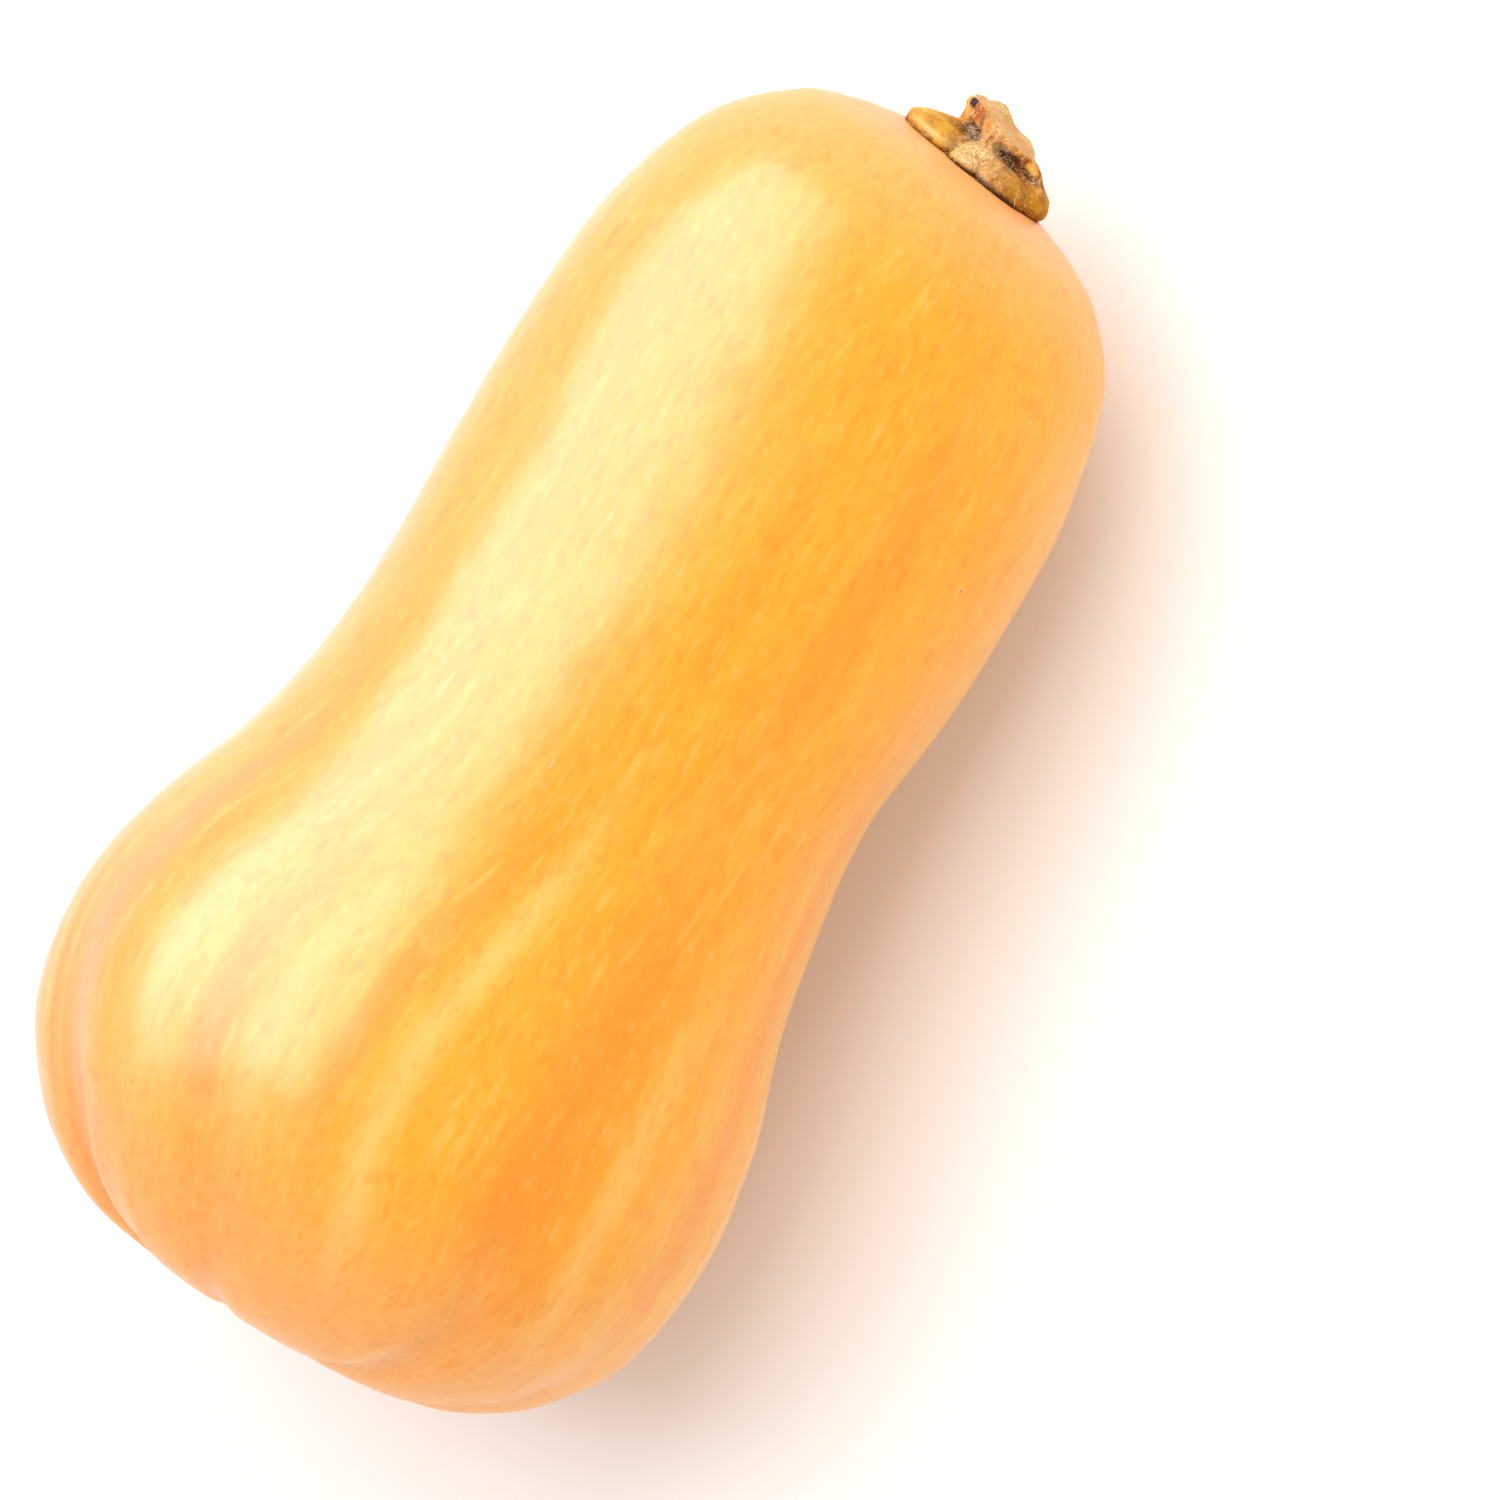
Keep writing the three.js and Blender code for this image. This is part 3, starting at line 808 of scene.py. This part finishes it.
def rind_material():
    """The waxy rind. Where a noise follows the grown place, its scale is in waves a millimetre."""
    n = Nodes("rind")
    grown = n.attribute("grown", "Vector")
    station = n.attribute("station")
    radius = n.attribute("radius")
    furrow = n.attribute("furrow")
    seat = n.attribute("seat")
    bearing = n.attribute("bearing", "Vector")
    wavy = n.noise(grown, 0.09, 2.0, 0.6)

    # The ground colour: broad lengthwise bands, finer streaks and clouds.
    ribbons = n.scaled(bearing, 1, 1, 0.8)
    bands = n.noise(ribbons, 2.6, 2.0, 0.5, 0.3)
    streaks = n.noise(ribbons, 8.5, 3.0, 0.62, 0.2)
    clouds = n.noise(grown, 0.03, 2.0, 0.5, 0.4)
    base = n.mix(n.between(bands, 0.38, 0.62), GROUND_DEEP, GROUND_WARM)
    base = n.mix(n.between(streaks, 0.45, 0.7, 0, 0.5), base, STREAKS_GOLD)
    fibres = n.noise(ribbons, 26, 3.0, 0.6, 0.3)
    base = n.mix(n.between(fibres, 0.5, 0.72, 0, 0.5), base, FIBRES_PALE)
    base = n.mix(n.between(clouds, 0.5, 0.78, 0, 0.4), base, CLOUDS_SOFT)
    neck = n.between(station, 60, 130)
    base = n.mix(n.math("MULTIPLY", neck, 0.35), base, NECK_GOLD)

    # Deep orange bands between the ribs, and pale stripes along them.
    for stripes, tint in ((DEEP_BANDS, BAND_ORANGE), (PALE_STRIPES, STRIPE_PALE)):
        for angle, width, strength, start, end in stripes:
            aside = n.math("SUBTRACT", n.beside(bearing, angle), (STRIPE_WAVE + STRIPE_FRAY) / 2 * width)
            aside = n.math("MULTIPLY_ADD", wavy, STRIPE_WAVE * width, aside)
            aside = n.math("MULTIPLY_ADD", fibres, STRIPE_FRAY * width, aside)
            across = n.between(aside, sin(width), 0, 0, strength)
            come = n.between(station, start, start + STRIPE_RISE)
            leave = n.between(station, end, end - STRIPE_FADE)
            base = n.mix(n.math("MULTIPLY", across, n.math("MULTIPLY", come, leave)), base, tint)

    # The ends and the furrows are pinker.
    ends = n.math("ADD", n.between(station, 40, 4), n.between(station, 186, 209, 0, 0.9))
    base = n.mix(n.math("MULTIPLY", ends, 0.62), base, ENDS_PINK)
    base = n.mix(n.between(furrow, 0.3, 2.2, 0, 0.5), base, FURROW_PINK)

    # Darker orange spots, soft and a little longer than they are wide.
    stretched = n.scaled(grown, 0.42, 1, 1)
    patchy = n.between(n.noise(grown, 0.06, 2.0, 0.5), 0.42, 0.62)
    spots = n.math("MULTIPLY", n.spots(stretched, 0.3, 0.36, 0.8), patchy)
    base = n.mix(n.math("MULTIPLY", spots, 0.24), base, SPOTS_ORANGE)
    mottle = n.noise(stretched, 0.32, 3.0, 0.6, 0.4)
    base = n.mix(n.between(mottle, 0.5, 0.75, 0, 0.34), base, MOTTLE_ORANGE)
    grain = n.noise(stretched, 0.85, 3.0, 0.6, 0.5)
    base = n.mix(n.between(grain, 0.52, 0.7, 0, 0.28), base, GRAIN_ORANGE)
    base = n.mix(n.between(grain, 0.46, 0.28, 0, 0.18), base, GRAIN_PALE)

    # Green veins below the stem, broken here and there.
    for angle, width, strength, reach in GREEN_VEINS:
        aside = n.math("MULTIPLY", n.beside(bearing, angle), radius)
        aside = n.math("ADD", aside, n.math("MULTIPLY_ADD", wavy, VEIN_WAVE, -VEIN_WAVE / 2))
        line = n.between(aside, width * 2.2, width * 0.5, 0, strength)
        along = n.between(station, LENGTH - reach, LENGTH - reach * 0.3)
        vein = n.math("MULTIPLY", line, n.math("MULTIPLY", along, n.between(wavy, 0.28, 0.5, 0.5, 1)))
        base = n.mix(vein, base, VEIN_GREEN)

    # Small dark specks, sparse, and fine pale scratches.
    specks = n.math("MULTIPLY", n.spots(grown, 0.11, 0.035), n.between(n.noise(grown, 0.04), 0.5, 0.6))
    base = n.mix(n.math("MULTIPLY", specks, 0.75), base, SPECK_BROWN)
    lines = n.noise(n.scaled(grown, 0.12, 1.6, 1.6), 1.6, 1.0, 0.5, 0.6)
    scuffed = n.between(n.noise(grown, 0.035, 1.0), 0.56, 0.66)
    scratches = n.math("MULTIPLY", n.between(lines, 0.66, 0.74, 0, 0.3), scuffed)
    base = n.mix(scratches, base, SCRATCH_PALE)

    # The skin round the stem and the scar at the blossom end.
    base = n.mix(n.between(seat, 2.4, 1.1, 0, 0.6), base, SEAT_PINK)
    # A dark, broken ring right round the stem's foot is painted contact shade.
    contact_shade = n.math("MULTIPLY_ADD", n.noise(grown, 0.9, 3.0, 0.7), -0.16, n.math("ADD", seat, 0.08))
    base = n.mix(n.between(contact_shade, 1.05, 1.01, 0, 0.9), base, SEAT_CONTACT_SHADE)
    blossom = n.between(station, *SCAR_STATIONS)
    ragged = n.math("MULTIPLY_ADD", wavy, SCAR_WAVE, radius)
    corky = n.math("MULTIPLY", blossom, n.between(ragged, *SCAR_RADII))
    base = n.mix(corky, base, SCAR_CORK)
    off_ring = n.math("ABSOLUTE", n.math("SUBTRACT", radius, SCAR_RING))
    ring = n.math("MULTIPLY", blossom, n.between(off_ring, 1.2, 0.2))
    base = n.mix(n.math("MULTIPLY", ring, 0.7), base, SCAR_EDGE)

    n.link(base, n.shader.inputs["Base Color"])
    n.shader.inputs["Roughness"].default_value = 0.52
    n.shader.inputs["Subsurface Weight"].default_value = 0.2
    n.shader.inputs["Subsurface Radius"].default_value = (1.0, 0.5, 0.15)
    n.shader.inputs["Subsurface Scale"].default_value = 0.0025
    n.shader.inputs["Specular IOR Level"].default_value = 0.25
    n.shader.inputs["Specular Tint"].default_value = (1, 0.95, 0.9, 1)
    waxy = n.math("MULTIPLY", n.between(station, 2, 30, 0.5, 1), n.between(station, 206, 180, 0.35, 1))
    n.link(waxy, n.shader.inputs["Coat Weight"])
    n.shader.inputs["Coat IOR"].default_value = 1.27
    n.shader.inputs["Coat Roughness"].default_value = 0.26

    # The skin's bump: soft dimples, fine grain, scratches and the scar's cork.
    skin = n.noise(n.scaled(grown, 0.6, 1, 1), 0.28, 2.0, 0.5)
    fine = n.noise(grown, 1.1, 3.0, 0.65)
    height = n.math("ADD", n.math("MULTIPLY", skin, 0.1), n.math("MULTIPLY", fine, 0.035))
    height = n.math("ADD", height, n.math("MULTIPLY", grain, 0.03))
    height = n.math("ADD", height, n.math("MULTIPLY", scratches, 0.03))
    crumbs = n.math("MULTIPLY", n.noise(grown, 1.6, 4.0, 0.7), 0.8)
    height = n.math("ADD", height, n.math("MULTIPLY", corky, crumbs))
    bump = n.add("ShaderNodeBump", 0, Strength=0.6, Distance=MM, Height=height)
    n.link(bump, n.shader.inputs["Normal"])
    n.link(bump, n.shader.inputs["Coat Normal"])
    return n.material


def stem_material():
    """The dry stem: olive and brown lobes, a buff neck and the cut."""
    n = Nodes("dry_stem")
    grown = n.attribute("grown", "Vector")
    crest, level, cut = (n.attribute(key) for key in ("crest", "level", "cut"))
    patches = n.noise(grown, 0.3, 3.0, 0.6)
    fibres = n.noise(n.scaled(grown, 1, 1, 0.3), 1.2, 4.0, 0.65)
    grain = n.noise(grown, 2.4, 3.0, 0.6)

    # Olive lobes, browner on the right, and a brown to buff neck.
    right = n.between(n.split(grown)[0], 3, -3)
    lobe = n.mix(n.between(patches, 0.34, 0.62), LOBE_OLIVE, LOBE_YELLOW)
    brown = n.mix(n.between(patches, 0.34, 0.66), LOBE_BROWN, LOBE_TAN)
    lobe = n.mix(right, lobe, brown)
    lobe = n.mix(n.between(fibres, 0.5, 0.76, 0, 0.6), lobe, LOBE_FIBRES)
    lobe = n.mix(n.between(grain, 0.5, 0.72, 0, 0.5), lobe, LOBE_GRAIN)
    # The painted highlight, cream, low on a lobe.
    lobe = n.mix(n.math("MULTIPLY", n.attribute("painted_highlight"), 0.85), lobe, LOBE_HIGHLIGHT_CREAM)
    neck = n.mix(n.between(patches, 0.4, 0.6), NECK_BROWN, NECK_BUFF)
    neck = n.mix(n.between(fibres, 0.45, 0.7, 0, 0.7), neck, NECK_FIBRES)
    base = n.mix(n.between(level, 0.5, 0.72), lobe, neck)

    # Painted shade in the valleys between the lobes and in the hollows under the cut, with paler fibres in
    # them.
    painted_shade = n.mix(n.between(fibres, 0.42, 0.72), HOLLOW_SHADE, HOLLOW_FIBRES)
    hollow = n.between(n.attribute("hollow"), 0.2, 0.6)
    hollow = n.math("MULTIPLY", hollow, n.between(patches, 0.3, 0.5, 0.6, 1))
    base = n.mix(hollow, base, painted_shade)
    base = n.mix(n.between(crest, 0.4, 0.05, 0, 0.9), base, painted_shade)
    # Painted shade round the foot of the stem, reaching higher on the side under it.
    low = n.math("MULTIPLY_ADD", patches, 0.12, level)
    shaded = n.math("MULTIPLY_ADD", n.attribute("under"), -0.11, low)
    base = n.mix(n.between(shaded, 0.17, 0.06, 0, 0.9), base, FOOT_SHADE)

    # Corky skin, pale flecks and warts.
    cork = n.math("MULTIPLY", n.attribute("cork"), n.between(fibres, 0.34, 0.52))
    corky = n.mix(n.between(grain, 0.4, 0.66), CORK_PALE, CORK_DARK)
    base = n.mix(cork, base, corky)
    flecks = n.between(n.noise(n.scaled(grown, 1, 1, 0.5), 3.4, 2.0, 0.5, 0.3), 0.64, 0.71)
    base = n.mix(n.math("MULTIPLY", flecks, 0.6), base, FLECKS_PALE)
    warts = n.math("MULTIPLY", n.spots(grown, 0.9, 0.16, 0.4), n.between(patches, 0.5, 0.55))
    base = n.mix(n.math("MULTIPLY", warts, 0.75), base, WARTS_PALE)

    # The cut face: buff, with dark pores. Then a near-black patch below it.
    face = n.mix(n.between(patches, 0.35, 0.7), CUT_BUFF, CUT_PALE)
    face = n.mix(n.between(grain, 0.5, 0.75, 0, 0.5), face, CUT_GRAIN)
    pores = n.spots(grown, 1.3, 0.2, 0.4)
    face = n.mix(n.math("MULTIPLY", pores, 0.8), face, PORES_DARK)
    base = n.mix(cut, base, face)
    dark_patch = n.math("MULTIPLY_ADD", grain, 0.9, n.attribute("dark_patch"))
    base = n.mix(n.between(dark_patch, 0.95, 1.15), base, DARK_PATCH_BLACK)

    n.link(base, n.shader.inputs["Base Color"])
    n.shader.inputs["Roughness"].default_value = 0.6
    n.shader.inputs["Specular IOR Level"].default_value = 0.16
    n.shader.inputs["Subsurface Weight"].default_value = 0.06
    n.shader.inputs["Subsurface Radius"].default_value = (1.0, 0.5, 0.2)
    n.shader.inputs["Subsurface Scale"].default_value = 0.0006
    height = n.math("ADD", n.noise(grown, 1.8, 4.0, 0.7), n.math("MULTIPLY", flecks, 0.3))
    height = n.math("SUBTRACT", height, n.math("MULTIPLY", pores, n.math("MULTIPLY", cut, 0.8)))
    bump = n.add("ShaderNodeBump", 0, Strength=0.9, Distance=0.4 * MM, Height=height)
    n.link(bump, n.shader.inputs["Normal"])
    return n.material


def hair_material():
    n = Nodes("stem_hair")
    n.shader.inputs["Base Color"].default_value = (*HAIR_PALE, 1)
    n.shader.inputs["Roughness"].default_value = 0.5
    return n.material


def floor_material():
    n = Nodes("floor")
    n.shader.inputs["Base Color"].default_value = FLOOR_COLOUR
    n.shader.inputs["Roughness"].default_value = 0.7
    return n.material


def add_floor():
    half = FLOOR_HALF
    corners = np.array([(-half, -half, 0), (half, -half, 0), (half, half, 0), (-half, half, 0)], float)
    floor = mesh_object("floor", corners, [(0, 1, 2, 3)], floor_material())


def view_axes(lying):
    """The photograph's right, up and towards-the-camera directions, in the row frame."""
    turn = lying.to_3x3()
    along, side, front = (turn.col[k].normalized() for k in range(3))
    up = sin(AXIS_TILT) * along + cos(AXIS_TILT) * side
    return up.cross(front), up, front


def add_camera(lying):
    """A long lens along the fruit's front, with the fruit where it is in the photograph's frame."""
    right, up, front = view_axes(lying)
    off_right = (FRAME_PIXELS / 2 - FRUIT_MIDDLE[0]) * PIXEL * MM
    off_up = (FRUIT_MIDDLE[1] - FRAME_PIXELS / 2) * PIXEL * MM
    data = bpy.data.cameras.new("camera")
    data.sensor_width = SENSOR
    data.lens = SENSOR * CAMERA_DISTANCE / (FRAME_PIXELS * PIXEL * MM)
    data.clip_end = 20
    camera = bpy.data.objects.new("camera", data)
    bpy.context.scene.collection.objects.link(camera)
    aim = lying @ Vector((LENGTH / 2 * MM, 0, 0)) + right * off_right + up * off_up
    turn = Matrix((right, up, front)).transposed().to_4x4()
    camera.matrix_world = Matrix.Translation(aim + front * CAMERA_DISTANCE) @ turn
    bpy.context.scene.camera = camera


def add_softbox(name, power, angle, width, lying):
    """A long softbox along the fruit, turned from the view direction towards the fruit's side."""
    along, side, front = (lying.to_3x3().col[k].normalized() for k in range(3))
    toward = cos(angle) * front + sin(angle) * side
    data = bpy.data.lights.new(name, "AREA")
    data.shape = "RECTANGLE"
    data.size = width
    data.size_y = BOX_LENGTH
    data.energy = power
    softbox = bpy.data.objects.new(name, data)
    turn = Matrix((along.cross(toward), along, toward)).transposed().to_4x4()
    place = Vector((0, 0, BOX_AIM_HEIGHT)) + BOX_DISTANCE * toward + BOX_SHIFT * along
    softbox.matrix_world = Matrix.Translation(place) @ turn
    bpy.context.scene.collection.objects.link(softbox)
    return softbox


def add_lights(lying):
    """Softboxes on the photograph's upper left, and a room that is darker overhead."""
    add_softbox("key", KEY_POWER, KEY_ANGLE, KEY_WIDTH, lying).visible_glossy = False
    sheen = add_softbox("sheen", SHEEN_POWER, SHEEN_ANGLE, SHEEN_WIDTH, lying)
    sheen.data.color = SHEEN_COLOUR
    sheen.visible_diffuse = False
    world = bpy.data.worlds.new("studio")
    world.use_nodes = True
    tree = world.node_tree
    up = tree.nodes.new("ShaderNodeSeparateXYZ")
    where = tree.nodes.new("ShaderNodeTexCoord")
    strength = tree.nodes.new("ShaderNodeMapRange")
    strength.inputs[3].default_value = ROOM_LIGHT
    strength.inputs[4].default_value = CEILING_LIGHT
    tree.links.new(where.outputs["Generated"], up.inputs[0])
    tree.links.new(up.outputs["Z"], strength.inputs[0])
    tree.links.new(strength.outputs[0], tree.nodes["Background"].inputs["Strength"])
    tree.nodes["Background"].inputs["Color"].default_value = ROOM_COLOUR
    bpy.context.scene.world = world


rind, lying = make_fruit(rind_material())
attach(rind, "root")
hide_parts("fruit")

stem, hairs = make_stem(lying, stem_material(), hair_material())
for piece in (stem, hairs):
    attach(piece, "root")
    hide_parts("stem")

add_floor()
add_camera(lying)
add_lights(lying)
bpy.context.scene.view_settings.view_transform = "Standard"
